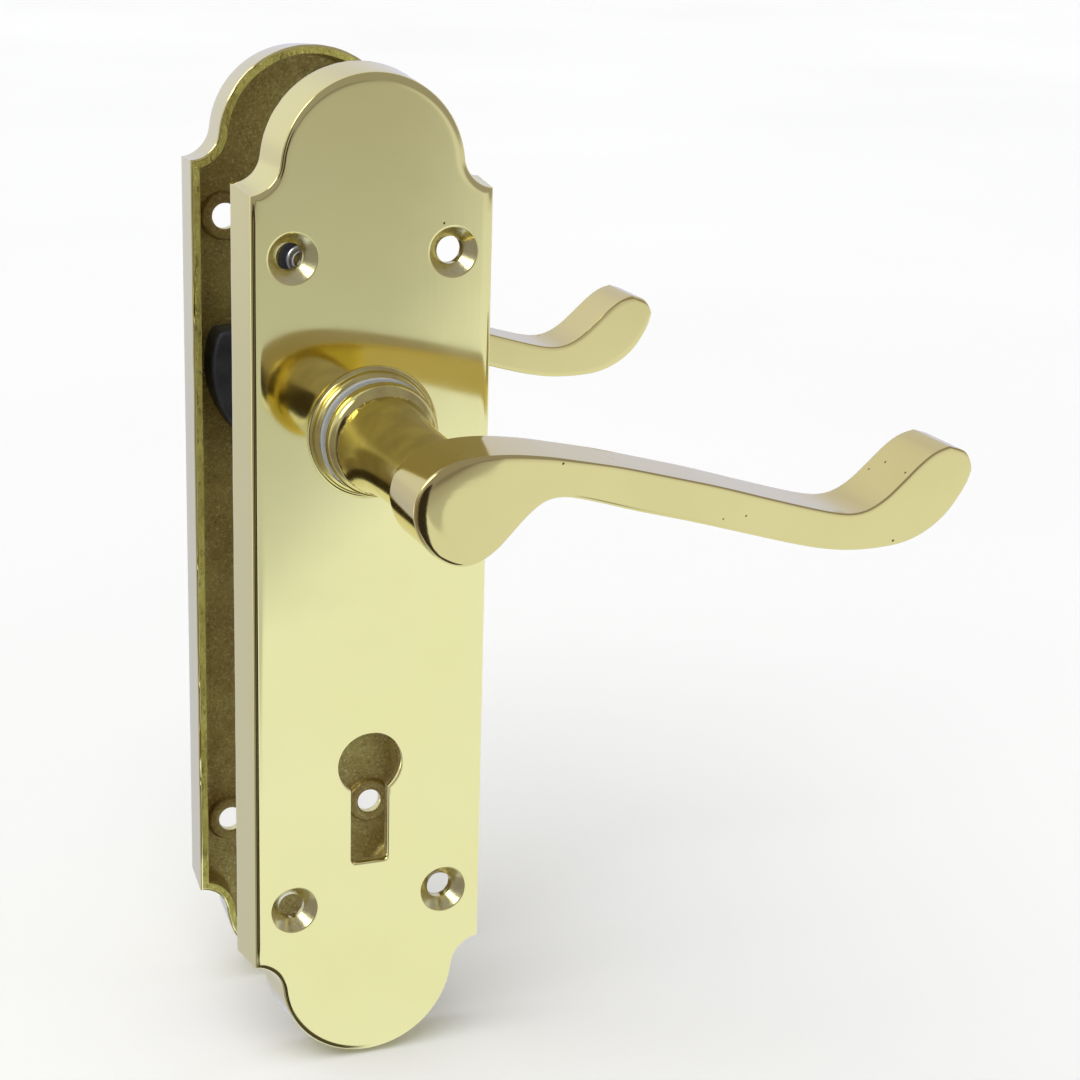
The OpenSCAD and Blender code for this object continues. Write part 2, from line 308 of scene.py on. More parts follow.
def plate(name, side, mats, seed):
    me = Mesh()
    draft, e = 0.75, 0.38

    def roll(y):        # the mop rounds the face off more along the top arch
        return 0.16 + 0.04 * ease(56, 72, y + SPINDLE_UP)

    def fall(w, y):
        return roll(y) * max(0.0, 1 - w / (1.2 + 0.5 * ease(76, 84, y + SPINDLE_UP))) ** 3
    # outer wall: rim edge, drafted side, rounded face edge, roll-off into the face
    prof = [(0.42, 0.02, None), (0.18, 0.05, None), (0.04, 0.16, None), (0.02, 0.34, None)]
    h1 = PLATE_T - e
    prof += [(draft * h / PLATE_T, h, None) for h in (1.2, 3.0, 5.0, 7.0)] + [(draft * h1 / PLATE_T, h1, 0)]
    i1 = draft * h1 / PLATE_T
    prof += [(i1 + e * (1 - math.cos(a)), h1 + e * math.sin(a), 0) for a in [math.pi / 2 * k / 6 for k in range(1, 6)]]
    i2 = i1 + e
    prof += [(i2 + j, PLATE_T, j) for j in (0.0, 0.08, 0.18, 0.3, 0.45, 0.62, 0.85, 1.2, 1.7)]
    rings = []
    for k, (i, h, w) in enumerate(prof):
        pts = outline(i, h)
        if w is not None:
            pts = [(x, y, z - fall(w, y)) for x, y, z in pts]
        if k < 4:   # the filed rim is a little uneven
            pts = [(x + 0.05 * fbm(x, y, seed, 0.7), y + 0.05 * fbm(y, x, seed + 3, 0.7), z + 0.05 * fbm(x, y, seed + 9, 1.3)) for x, y, z in pts]
        rings.append(me.ring(pts))
    me.strips(rings, 0)

    def face_h(x, y):
        return PLATE_T
    n_sink, n_bead = 48, 96
    sinks, backs = [], []
    for sx in (-1, 1):
        for sz in (-1, 1):
            cx, cy = sx * SCREW_X, sz * SCREW_Z - SPINDLE_UP
            p = [(4.26, PLATE_T), (4.08, PLATE_T), (3.96, PLATE_T - 0.05), (3.88, PLATE_T - 0.14), (3.78, PLATE_T - 0.24), (3.3, 8.82), (2.32, 7.9), (2.22, 7.78), (2.2, 7.6), (2.2, 6.25), (2.3, 6.08), (2.5, 6.0)]
            rr = [me.ring(circle(r, n_sink, cx, cy, h)) for r, h in p]
            me.strips(rr[:4], 0)
            me.strips(rr[3:10], 3)
            me.strips(rr[9:], 1)
            b = [(3.3, 6.0), (3.75, 6.06), (3.98, 6.3), (4.06, 6.8), (4.25, 7.08), (4.7, FLOOR)]
            bb = [rr[-1]] + [me.ring([(x + 0.07 * fbm(x, y, seed, 0.9), y + 0.07 * fbm(y, x, seed, 0.9), z + 0.05 * fbm(x, y, 7 + seed, 1.1)) for x, y, z in circle(r, n_sink, cx, cy, h)]) for r, h in b]
            me.strips(bb, 1)
            sinks.append(rr[0])
            backs.append(bb[-1])
    kp = [(0.42, PLATE_T), (0.24, PLATE_T), (0.08, PLATE_T - 0.05), (0.0, PLATE_T - 0.2), (0.0, 8.6), (-0.05, 7.7), (0.1, 7.35), (0.45, FLOOR)]
    kk = [me.ring(keyhole(o, h)) for o, h in kp]
    me.strips(kk[:5], 0)
    me.strips(kk[4:], 1)
    bead = [(10.95, PLATE_T), (10.7, PLATE_T), (10.42, PLATE_T + 0.07), (10.2, PLATE_T + 0.25)]
    bead += [(8.85 + 1.3 * math.cos(a), 10.15 + 1.25 * math.sin(a)) for a in [math.radians(-12 + 102 * k / 12) for k in range(13)]]
    bead += [(8.3, BEAD_TOP), (8.06, BEAD_TOP - 0.1), (8.03, BEAD_TOP - 0.35), (8.03, 7.4), (8.1, 7.25), (8.3, FLOOR)]
    bb = [me.ring(circle(r, n_bead, h=h)) for r, h in bead]
    me.strips(bb, 4)
    holes = [*sinks, kk[0], bb[0]]
    loops = [flat2(me, rings[-1])]
    inner = grid_points(-20, 20, -112, 60, 2.4, loops, 0.9, [flat2(me, x) for x in holes])
    me.fill(rings[-1], holes, inner, face_h, 0)

    # cast back: rim, inner wall, floor
    back = [(1.3, 0.02), (1.5, 0.08), (1.62, 0.3), (1.66, 1.6), (1.7, 3.2), (1.76, 4.8), (1.86, 5.9), (2.1, 6.6), (2.5, 7.02), (3.0, FLOOR)]
    br = [rings[0]]
    for k, (i, h) in enumerate(back):
        a = 0.05 if k < 3 else 0.11
        br.append(me.ring([(x + a * fbm(x, y + h, seed, 0.55), y + a * fbm(y, x + h, seed + 5, 0.55), z + (0.05 if k < 3 else 0.09) * fbm(x, y, seed + h, 0.8)) for x, y, z in outline(i, h)]))
    me.strips(br[:3], 2)
    me.strips(br[2:], 1)

    def floor_h(x, y):
        return FLOOR + 0.10 * fbm(x, y, seed + 2, 0.45) + 0.05 * fbm(x, y, seed + 4, 1.1)
    holes = [*backs, kk[-1], bb[-1]]
    inner = grid_points(-19, 19, -110, 57, 1.15, [flat2(me, br[-1])], 0.45, [flat2(me, x) for x in holes])
    me.fill(br[-1], holes, inner, floor_h, 1)
    ob = me.build(name, side, mats, 33)
    return ob


# ------------------------------------------------------------------ lever
# Pairs of points, upper edge and lower edge of the scroll, from the root to the tip
SCROLL = [((-8.2, -1.0), (-8.2, -1.0)), ((-7.6, 2.4), (-7.2, -4.5)), ((-5.4, 5.0), (-5.2, -7.0)),
          ((-2.4, 6.55), (-2.8, -8.5)), ((0.8, 7.2), (-0.3, -8.95)), ((4.0, 7.35), (2.2, -8.3)),
          ((7.0, 7.2), (4.6, -6.7)), ((10.0, 6.85), (6.9, -4.4)), ((13.2, 6.35), (9.2, -2.1)),
          ((16.4, 5.7), (11.7, -0.3)), ((20.0, 4.95), (14.6, 0.2)), ((24.5, 3.95), (18.6, -0.6)),
          ((32.0, 2.0), (26.5, -2.9)), ((40.0, -0.15), (35.5, -5.3)), ((48.0, -2.55), (45.0, -8.05)),
          ((55.0, -4.6), (52.5, -10.2)), ((59.6, -5.8), (57.8, -11.5)), ((62.8, -6.25), (62.6, -12.2)),
          ((65.6, -5.8), (67.8, -12.3)), ((68.4, -4.3), (72.6, -11.75)), ((71.2, -1.95), (76.6, -10.1)),
          ((74.0, 0.55), (79.6, -7.75)), ((76.6, 2.35), (81.7, -5.1)), ((79.2, 3.2), (82.95, -3.0)),
          ((82.15, 2.05), (83.4, -1.65)), ((83.45, -0.5), (83.45, -0.5))]
CORNER = 23     # the crisp turn at the top of the tip


def cr(a, b, c, d, t):
    a, b, c, d = map(np.array, (a, b, c, d))
    return 0.5 * (2 * b + (c - a) * t + (2 * a - 5 * b + 4 * c - d) * t * t + (3 * b - a - 3 * c + d) * t ** 3)


def scroll_sections(n=7):
    top = [p[0] for p in SCROLL]
    low = [p[1] for p in SCROLL]
    last = len(SCROLL) - 1
    out = []
    for s in range(last):
        steps = n if s not in (0, last - 1) else 2 * n
        for k in range(steps):
            t = k / steps
            if s == 0:
                t = t ** 1.6
            if s == last - 1:
                t = 1 - (1 - t) ** 1.6
            lo_m = low[s - 1] if s > 0 else top[1]
            lo_p = low[s + 2] if s + 2 <= last else top[last - 1]
            tp_m = top[s - 1] if s > 0 else low[1]
            tp_p = top[s + 2] if s + 2 <= last else low[last - 1]
            if s == CORNER - 1:
                tp_p = (2 * top[s + 1][0] - top[s][0] + 0.3, 2 * top[s + 1][1] - top[s][1] - 0.5)
            if s == CORNER:
                tp_m = (2 * top[s][0] - top[s + 1][0] - 0.2, 2 * top[s][1] - top[s + 1][1] + 0.2)
            out.append((cr(tp_m, top[s], top[s + 1], tp_p, t), cr(lo_m, low[s], low[s + 1], lo_p, t), s + t))
    out.append((np.array(top[last]), np.array(low[last]), float(last)))
    return out


def ease(a, b, x):
    t = min(max((x - a) / (b - a), 0.0), 1.0)
    return t * t * (3 - 2 * t)


def grip(name, side, mats, seed):
    me = Mesh()
    sec = scroll_sections()
    vs = [0.0, 0.012, 0.03, 0.055, 0.09, 0.14, 0.2, 0.27, 0.35, 0.43, 0.5]
    vs = vs + [1 - v for v in vs[::-1][1:]]
    rings = []

    def sink(p):        # the round end of the lever falls away towards its left side
        x, y = p[0] - 0.5, p[1] + 0.8
        r = math.hypot(x, y)
        return ease(-0.25, 0.85, (0.3 * y - 0.95 * x) / max(r, 0.1)) * 0.05 * max(0.0, r - 4.55) ** 2
    for T, B, u in sec:
        L = float(np.linalg.norm(T - B))
        d = (B - T) / L if L > 1e-9 else np.array([0.0, -1.0])
        # how far the two long edges of the face fall away, and over what width
        a = ease(4.5, 11, u)
        curl = ease(16.5, 19, u)
        ct = 0.26 - 0.14 * a + 0.02 * curl + 0.06 * ease(22.5, 25, u)
        cb = 0.30 + 0.12 * a - 0.10 * ease(22.5, 25, u)
        wt = 0.20 - 0.07 * a + 0.03 * curl
        wb = 0.24 + 0.36 * a
        e = 0.25 + 0.75 * ease(21, 24, u)

        def crown(v):
            dt = v * L
            db = (1 - v) * L
            return GRIP_OUT - ct * math.exp(-dt / wt) * (1 - v) ** 0.5 - cb * math.exp(-db / wb) * v ** 0.5

        end = min(1.0, L / 3.0)
        low = GRIP_OUT - 0.5 * (ct + cb)                 # the ends of the face close at one height
        ht, hb = low + (GRIP_OUT - ct - low) * end, low + (GRIP_OUT - cb - low) * end
        loop = []
        for v in vs:                                     # face, upper edge to lower edge
            p = T + (B - T) * v
            loop.append((p[0], p[1], low + (crown(v) - low) * end - sink(p)))
        for k, g in enumerate((0.12, 0.5, 2.5, 5.0, 7.5, 0.0)):   # lower wall
            loop.append((B[0], B[1], hb - sink(B) - g if k < 5 else GRIP_IN + 1.4))
        for a in range(0, 7):                            # rounded inner edge
            t = math.pi / 2 * a / 6
            g = min(e * (1 - math.cos(t)), L / 2)
            p = B - d * g
            loop.append((p[0], p[1], GRIP_IN + e - e * math.sin(t)))
        gi = min(e, L / 2)
        for v in (0.12, 0.3, 0.5, 0.7, 0.88):
            p = (B - d * gi) + ((T + d * gi) - (B - d * gi)) * v
            loop.append((p[0], p[1], GRIP_IN))
        for a in range(6, -1, -1):
            t = math.pi / 2 * a / 6
            g = min(e * (1 - math.cos(t)), L / 2)
            p = T + d * g
            loop.append((p[0], p[1], GRIP_IN + e - e * math.sin(t)))
        for k, g in enumerate((0.0, 7.5, 5.0, 2.5, 0.5, 0.12)):
            loop.append((T[0], T[1], ht - sink(T) - g if k else GRIP_IN + 1.4))
        rings.append(me.ring(loop))
    me.strips(rings, 0)
    return me


COLLAR_R, NECK_R, NECK_DROP = 9.3, 6.6, 0.6


def collar_profile():
    p = [(0.0, 0.0), (6.6, 0.0), (7.0, 0.35), (7.0, 4.0), (7.0, 8.0), (7.0, 12.3), (7.02, COLLAR), (7.95, COLLAR), (8.2, COLLAR + 0.06)]
    p += [(COLLAR_R - 1.5 + 1.5 * math.cos(a), COLLAR + 1.85 + 1.8 * math.sin(a)) for a in [math.radians(-66 + 146 * k / 22) for k in range(23)]]
    return p + [(7.6, COLLAR + 3.8), (6.0, COLLAR + 3.9), (0.0, COLLAR + 3.9)]


def neck_profile():
    h = COLLAR + 3.6
    p = [(0.0, 14.6), (7.2, 14.6), (7.6, h), (7.72, h + 0.1), (7.9, h + 0.14), (8.02, h + 0.3), (8.0, h + 0.5)]
    a, b, cc, d = np.array([7.98, h + 0.55]), np.array([7.1, 20.3]), np.array([NECK_R, 24.5]), np.array([NECK_R - 0.05, 40.4])
    for k in range(1, 25):
        t = k / 24
        q = a * (1 - t) ** 3 + 3 * b * (1 - t) ** 2 * t + 3 * cc * (1 - t) * t * t + d * t ** 3
        p.append((float(q[0]), float(q[1])))
    return p + [(NECK_R - 0.03, 41.2), (NECK_R + 0.05, 41.8), (NECK_R + 0.15, 42.1), (NECK_R + 0.17, 42.5), (NECK_R + 0.17, 44.5), (0.0, 44.5)]


def box_mesh(x0, y0, h0, x1, y1, h1):
    me = Mesh()
    a = me.ring([(x0, y0, h0), (x1, y0, h0), (x1, y1, h0), (x0, y1, h0)])
    b = me.ring([(x0, y0, h1), (x1, y0, h1), (x1, y1, h1), (x0, y1, h1)])
    me.strip(a, b)
    me.face(a)
    me.face(b)
    return me


def lever(name, side, mats, seed):
    def rough(p):       # the line of casting skin left behind the collar, then drop the neck
        x, y, h = p
        r = math.hypot(x, y)
        w = math.exp(-((h - 16.35) / 0.30) ** 2) if r > 7.4 else 0.0
        g = 1 + w * (0.9 * noise.noise(Vector((x * 1.9, y * 1.9, seed))) + 0.7 * noise.noise(Vector((x * 4.1, y * 4.1, seed + 4)))) * 0.022
        return (x * g, y * g - NECK_DROP, h + 0.22 * w * noise.noise(Vector((x * 1.5, y * 1.5, seed + 8))))
    ck = Mesh()
    revolve(ck, collar_profile(), 128, 1)
    ob = grip(name, side, mats, seed).build(name, side, mats, 33)
    nk = Mesh()
    revolve(nk, neck_profile(), 160, 1, rough)
    boolean(ob, nk.build(name + "_n", side, mats), "UNION")
    boolean(ob, ck.build(name + "_c", side, mats), "UNION")
    s = 4.05
    boolean(ob, box_mesh(-s, -s, -1, s, s, 33).build("c", side, mats), "DIFFERENCE")
    for x in (-1, 1):
        x0, x1 = sorted((6.3 * x, 9.0 * x))
        boolean(ob, box_mesh(x0, -8, -1, x1, 8, 4.1).build("c", side, mats), "DIFFERENCE")
    g = Mesh()
    n = 40
    a = g.ring([(2.5 * math.cos(2 * math.pi * k / n), -3.5, 24 + 2.5 * math.sin(2 * math.pi * k / n)) for k in range(n)])
    b = g.ring([(2.5 * math.cos(2 * math.pi * k / n), -12, 24 + 2.5 * math.sin(2 * math.pi * k / n)) for k in range(n)])
    g.strip(a, b)
    g.face(a)
    g.face(b)
    boolean(ob, g.build("c", side, mats), "DIFFERENCE")
    tidy(ob, 33, 1e-8)
    drop_specks(ob)
    return ob


# ------------------------------------------------------------------ small pieces
def closed_revolve(profile, n=96):
    me = Mesh()
    rings = [me.ring(circle(r, n, h=h)) for r, h in profile]
    me.strips(rings + [rings[0]], 0)
    return me


def bush():
    r = 0.22
    p = [(7.05, FLOOR + 0.1), (7.15, FLOOR), (7.9, FLOOR), (8.0, FLOOR + 0.1), (8.0, BEAD_TOP)]
    p += [(9.15, BEAD_TOP + 0.0), (9.33, BEAD_TOP + 0.07), (9.4, BEAD_TOP + 0.26)]
    p += [(9.4, FLANGE - 0.26), (9.33, FLANGE - 0.07), (9.15, FLANGE), (7.2, FLANGE), (7.05, FLANGE - 0.12)]
    return closed_revolve(p)


def cup_outline(i, h, n=72):
    cy, R, top = 3.2, 16.8 - i, 9.8 - i
    a = math.asin((top - cy) / R)
    f = 1.6
    arc = [(R * math.cos(t), cy + R * math.sin(t)) for t in [math.pi - a + (math.pi + 2 * a) * k / n for k in range(n + 1)]]
    x = R * math.cos(a)
    flat = [(x - 0.0 - (2 * x) * k / 14, top) for k in range(1, 14)]
    pts = arc + flat
    # soften the two corners a little
    out = []
    for p in pts:
        w = max(0.0, 1 - math.hypot(abs(p[0]) - x, p[1] - top) / f)
        out.append((p[0] * (1 - 0.020 * w), p[1] - 0.30 * w * w, h))
    return out


def spring_cover(name, side, mats):
    me = Mesh()
    top, low, t = 1.9, FLOOR - 0.02, 0.7
    outer = [(0.0, low), (0.0, 5.0), (0.0, 3.0)] + [(0.8 * (1 - math.cos(a)), top + 0.8 - 0.8 * math.sin(a)) for a in [math.pi / 2 * k / 6 for k in range(7)]]
    inner = [(t, low), (t, 5.0), (t, 3.3)] + [(t + 0.4 * (1 - math.cos(a)), top + t + 0.4 - 0.4 * math.sin(a)) for a in [math.pi / 2 * k / 4 for k in range(5)]]
    ro = [me.ring(cup_outline(i, h)) for i, h in outer]
    ri = [me.ring(cup_outline(i, h)) for i, h in inner]
    me.strips(ro, 0)
    me.strips(ri, 0)
    me.strip(ro[0], ri[0])
    hole = [(7.55, top), (7.38, top + 0.06), (7.3, top + 0.2), (7.3, top + t - 0.15), (7.4, top + t)]
    rh = [me.ring(circle(r, 72, h=h)) for r, h in hole]
    me.strips(rh, 0)
    me.fill(ro[-1], [rh[0]], [], lambda x, y: top, 0)
    me.fill(ri[-1], [rh[-1]], [], lambda x, y: top + t, 0)
    ob = me.build(name, side, mats, 33)
    for y, y_in in ((RIVETS[0], 9.0), (RIVETS[1], -12.4)):
        er = 3.6
        up = y > 0
        pts = [(er * math.cos(a), y + (er * math.sin(a) if up else -er * math.sin(a))) for a in [math.pi * k / 24 for k in range(25)]]
        pts += [(-er, y_in), (er, y_in)]
        ear = Mesh()
        h0, h1 = FLOOR - 0.02 - 0.7, FLOOR - 0.02
        cen = np.array([0.0, y])

        def shrink(g):
            o = []
            for x, yy in pts:
                v = np.array([x, yy]) - cen
                n = np.linalg.norm(v)
                o.append(tuple(cen + v * (1 - g / n)) if n else (x, yy))
            return o
        rr = [ear.ring([(x, yy, h) for x, yy in shrink(g)]) for g, h in ((0.14, h0), (0.04, h0 + 0.04), (0.0, h0 + 0.14), (0.0, h1))]
        hr = [ear.ring(circle(1.8, 32, 0, y, h)) for h in (h0, h1)]
        ear.strips(rr, 0)
        ear.strip(hr[0], hr[1])
        ear.fill(rr[0], [hr[0]], [], None, 0)
        ear.fill(rr[-1], [hr[1]], [], None, 0)
        boolean(ob, ear.build("ear", side, mats), "UNION")
    tidy(ob, 33, 1e-8)
    return ob


def rivets():
    me = Mesh()
    top = FLOOR - 1.6
    base = FLOOR - 0.02 - 0.7
    for y in RIVETS:
        p = [(0.0, 7.6), (1.25, 7.55), (1.3, 7.4), (1.3, 6.0), (1.33, top + 0.2), (1.42, top + 0.06), (1.6, top), (1.9, top - 0.02),
             (2.2, top + 0.02), (2.42, top + 0.12), (2.56, top + 0.28), (2.58, top + 0.5), (2.5, base), (1.75, base), (1.75, 8.6), (0.0, 8.6)]
        rings = [me.ring(circle(r, 40, 0, y, h)) for r, h in p]
        me.strips(rings, 0)
    return me


def washer():
    h0, h1 = 1.35, 1.85
    return closed_revolve([(7.05, h0 + 0.05), (7.12, h0), (9.1, h0), (9.2, h0 + 0.08), (9.2, h1 - 0.08), (9.1, h1), (7.12, h1), (7.05, h1 - 0.05)])


def poly_solid(outer, holes, h0, h1, b=0.1):
    """A flat plate of the given outline with holes and a small bevel b on every edge."""
    def offset(pts, g):
        p = np.array(pts)
        t = np.roll(p, -1, 0) - np.roll(p, 1, 0)
        n = np.c_[t[:, 1], -t[:, 0]]
        n /= np.linalg.norm(n, axis=1)[:, None]
        return p - n * g
    me = Mesh()

    def loop(pts, s):
        area = sum(a[0] * c[1] - c[0] * a[1] for a, c in zip(pts, pts[1:] + pts[:1]))
        pts = pts if area > 0 else pts[::-1]
        rr = [me.ring([(x, y, h) for x, y in offset(pts, s * g)]) for g, h in ((b, h0), (b * 0.3, h0 + b * 0.3), (0, h0 + b), (0, h1 - b), (b * 0.3, h1 - b * 0.3), (b, h1))]
        me.strips(rr, 0)
        return rr
    o = loop(outer, 1)
    hs = [loop(x, -1) for x in holes]
    me.fill(o[0], [x[0] for x in hs], [], None, 0)
    me.fill(o[-1], [x[-1] for x in hs], [], None, 0)
    return me


def circlip():
    h0, h1 = 0.53, 1.29
    gap = math.radians(9)
    ear = math.radians(16)
    outer, inner = [], []
    for k in range(121):
        a = math.pi / 2 + gap + (2 * math.pi - 2 * gap) * k / 120
        # thinner at the ends and thickest opposite the gap, with two rounded ears
        R = 8.25 + 0.35 * (0.5 - 0.5 * math.cos(a - math.pi / 2)) if True else 8.5
        for s in (-1, 1):
            d = a - (math.pi / 2 + s * ear)
            d = (d + math.pi) % (2 * math.pi) - math.pi
            if abs(d) * 8.6 < 1.2:
                R = max(R, 8.5 + math.sqrt(1.2 ** 2 - (d * 8.6) ** 2))
        outer.append((R * math.cos(a), R * math.sin(a)))
        inner.append((6.53 * math.cos(a), 6.53 * math.sin(a)))
    pts = outer + inner[::-1]
    holes = [[(8.75 * math.cos(math.pi / 2 + s * ear) + 0.5 * math.cos(t), 8.75 * math.sin(math.pi / 2 + s * ear) + 0.5 * math.sin(t)) for t in [2 * math.pi * k / 20 for k in range(20)]] for s in (-1, 1)]
    return poly_solid(pts, holes, h0, h1, 0.07)


def grub(name, side, mats):
    me = Mesh()
    n = 48
    y0, y1 = -4.06, -7.11

    def ring(r, y):
        return me.ring([(r * math.cos(2 * math.pi * k / n), y, 24 + r * math.sin(2 * math.pi * k / n)) for k in range(n)])

    def hexring(y, s=1.44):
        out = []
        for k in range(n):
            a = 2 * math.pi * k / n
            f = (a % (math.pi / 3)) - math.pi / 6
            out.append((s * math.cos(math.pi / 6) / math.cos(f) * math.cos(a), y, 24 + s * math.cos(math.pi / 6) / math.cos(f) * math.sin(a)))
        return me.ring(out)
    rr = [ring(0.01, y0 + 0.0), ring(1.0, y0), ring(1.35, y0 - 0.35), ring(2.1, y0 - 0.35)]
    y = y0 - 0.6
    while y > y1 + 0.45:            # thread crests
        rr += [ring(2.45, y), ring(2.45, y - 0.08), ring(2.2, y - 0.28), ring(2.2, y - 0.34)]
        y -= 0.55
    rr += [ring(2.4, y1 + 0.2), ring(2.2, y1), ring(1.62, y1)]
    rr += [hexring(y1 + 0.08), hexring(y0 - 1.6), ring(0.01, y0 - 1.45)]
    me.strips(rr, 0)
    return me.build(name, side, mats, 33)


def wire(points, r, n=14):
    me = Mesh()
    p = np.array(points, float)
    rings = []
    for i in range(len(p)):
        t = p[min(i + 1, len(p) - 1)] - p[max(i - 1, 0)]
        t /= np.linalg.norm(t)
        s = np.cross(t, [0, 0, 1])
        s /= np.linalg.norm(s)
        u = np.cross(s, t)
        rings.append(me.ring([p[i] + r * (s * math.cos(2 * math.pi * k / n) + u * math.sin(2 * math.pi * k / n)) for k in range(n)]))
    me.strips(rings, 0)
    me.face(rings[0])
    me.face(rings[-1])
    return me


def spring():
    low, top, wr = FLOOR - 0.7, 2.7 + 0.9 + 0.75, 0.6
    ring_r, tail_out = 8.25, 12.1
    rest = -67.5
    tail = rest - math.degrees(math.asin((2.1 + wr + 0.3) / 10.9))
    anchor = 150.0
    sweep = anchor - tail + 360 - 12

    def pol(r, a, h):
        return (r * math.cos(math.radians(a)), r * math.sin(math.radians(a)), h)
    p = [pol(tail_out, anchor, low), pol(10.5, anchor, low), pol(9.6, anchor - 0.6, low), pol(9.0, anchor - 1.6, low), pol(8.55, anchor - 3.4, low)]
    p += [pol(ring_r, anchor - 6 - sweep * k / 110, low + (top - low) * k / 110) for k in range(111)]
    p += [pol(8.55, tail + 3.4, top), pol(9.0, tail + 1.6, top), pol(9.6, tail + 0.6, top), pol(10.5, tail, top), pol(tail_out, tail, top)]
    return wire(p, wr)


def spindle(mats):
    me = Mesh()
    y0, y1 = -32.0, 56.0
    w = 4.0

    def sq(s, c, y):
        pts = []
        for sx, sz in ((1, 1), (-1, 1), (-1, -1), (1, -1)):
            a = (sx * s, sz * (s - c))
            b = (sx * (s - c), sz * s)
            pts += [a, b] if sx * sz > 0 else [b, a]
        return me.ring([(x, y, z) for x, z in pts])
    rr = [sq(w - 0.7, 0.3, y0), sq(w, 0.32, y0 + 0.7)]
    rr += [sq(w, 0.32, y0 + 0.7 + (y1 - y0 - 1.4) * k / 12) for k in range(1, 13)]
    rr += [sq(w - 0.7, 0.3, y1)]
    me.strips(rr, 0)
    me.face(rr[0])
    me.face(rr[-1])
    return me.build("spindle_bar", None, mats, 25)


# ------------------------------------------------------------------ materials
class Nodes:
    def __init__(self, name):
        self.mat = bpy.data.materials.new(name)
        self.mat.use_nodes = True
        self.t = self.mat.node_tree
        self.t.nodes.clear()
        self.out = self.t.nodes.new("ShaderNodeOutputMaterial")
        self.bsdf = self.t.nodes.new("ShaderNodeBsdfPrincipled")
        self.t.links.new(self.bsdf.outputs[0], self.out.inputs[0])
        co = self.t.nodes.new("ShaderNodeTexCoord")
        self.co = co.outputs["Object"]

    def link(self, a, b):
        self.t.links.new(a, b)

    def noise(self, scale, detail=3.0, rough=0.5, stretch=None, w=0.0):
        src = self.co
        if stretch:
            m = self.t.nodes.new("ShaderNodeMapping")
            m.inputs["Scale"].default_value = stretch
            m.inputs["Location"].default_value = (w, w * 0.7, w * 0.3)
            self.link(src, m.inputs["Vector"])
            src = m.outputs[0]
        n = self.t.nodes.new("ShaderNodeTexNoise")
        n.inputs["Scale"].default_value = scale
        n.inputs["Detail"].default_value = detail
        n.inputs["Roughness"].default_value = rough
        self.link(src, n.inputs["Vector"])
        return n.outputs["Fac"]

    def voronoi(self, scale):
        n = self.t.nodes.new("ShaderNodeTexVoronoi")
        n.inputs["Scale"].default_value = scale
        self.link(self.co, n.inputs["Vector"])
        return n

    def ramp(self, src, stops):
        n = self.t.nodes.new("ShaderNodeValToRGB")
        while len(n.color_ramp.elements) < len(stops):
            n.color_ramp.elements.new(0.5)
        for el, (pos, col) in zip(n.color_ramp.elements, stops):
            el.position = pos
            el.color = (*col, 1) if len(col) == 3 else col
        self.link(src, n.inputs[0])
        return n.outputs[0]

    def map(self, src, a, b, c, d):
        n = self.t.nodes.new("ShaderNodeMapRange")
        for i, v in enumerate((a, b, c, d)):
            n.inputs[i + 1].default_value = v
        self.link(src, n.inputs[0])
        return n.outputs[0]

    def math(self, op, a, b=None):
        n = self.t.nodes.new("ShaderNodeMath")
        n.operation = op
        for i, v in enumerate((a, b)):
            if v is None:
                continue
            if isinstance(v, (int, float)):
                n.inputs[i].default_value = v
            else:
                self.link(v, n.inputs[i])
        return n.outputs[0]

    def mix(self, fac, a, b):
        n = self.t.nodes.new("ShaderNodeMix")
        n.data_type = "RGBA"
        self.link(fac, n.inputs[0])
        for i, v in ((6, a), (7, b)):
            if isinstance(v, tuple):
                n.inputs[i].default_value = (*v, 1)
            else:
                self.link(v, n.inputs[i])
        return n.outputs[2]

    def bump(self, src, strength, distance, prev=None):
        n = self.t.nodes.new("ShaderNodeBump")
        n.inputs["Strength"].default_value = strength
        n.inputs["Distance"].default_value = distance
        self.link(src, n.inputs["Height"])
        if prev is not None:
            self.link(prev, n.inputs["Normal"])
        return n.outputs[0]

    def set(self, **kw):
        for k, v in kw.items():
            s = self.bsdf.inputs[k.replace("_", " ")]
            if isinstance(v, (int, float, tuple)):
                s.default_value = v
            else:
                self.link(v, s)
        return self.mat


def brass_polished(name, lo=(0.85, 0.745, 0.29), hi=(0.885, 0.78, 0.325), pits=0.03, rough=(0.05, 0.12), tarnish=0.0, wave=0.12):
    n = Nodes(name)
    col = n.ramp(n.noise(26, 3, 0.55), [(0.3, lo), (0.7, hi)])
    if tarnish:
        t = n.map(n.noise(130, 4, 0.6), 0.42, 0.68, 0.0, tarnish)
        col = n.mix(t, col, (0.33, 0.22, 0.09))
    vor = n.voronoi(260)
    near = n.map(vor.outputs["Distance"], 0.035, 0.065, 1.0, 0.0)
    sep = n.t.nodes.new("ShaderNodeSeparateColor")
    n.link(vor.outputs["Color"], sep.inputs[0])
    pit = n.math("MULTIPLY", near, n.math("GREATER_THAN", sep.outputs[0], 1.0 - pits))
    col = n.mix(pit, col, (0.16, 0.11, 0.04))
    hair = n.noise(900, 2.0, 0.6, (1.0, 0.25, 0.05))
    r = n.map(n.noise(60, 4, 0.6), 0.3, 0.75, *rough)
    r = n.math("ADD", r, n.math("MULTIPLY", pit, 0.5))
    b = n.bump(n.noise(22, 1.0, 0.4), wave, 0.0006)
    b = n.bump(hair, 0.05, 0.00002, b)
    b = n.bump(n.math("MULTIPLY", pit, -1.0), 0.6, 0.0001, b)
    return n.set(Base_Color=col, Metallic=1.0, Roughness=r, Normal=b)


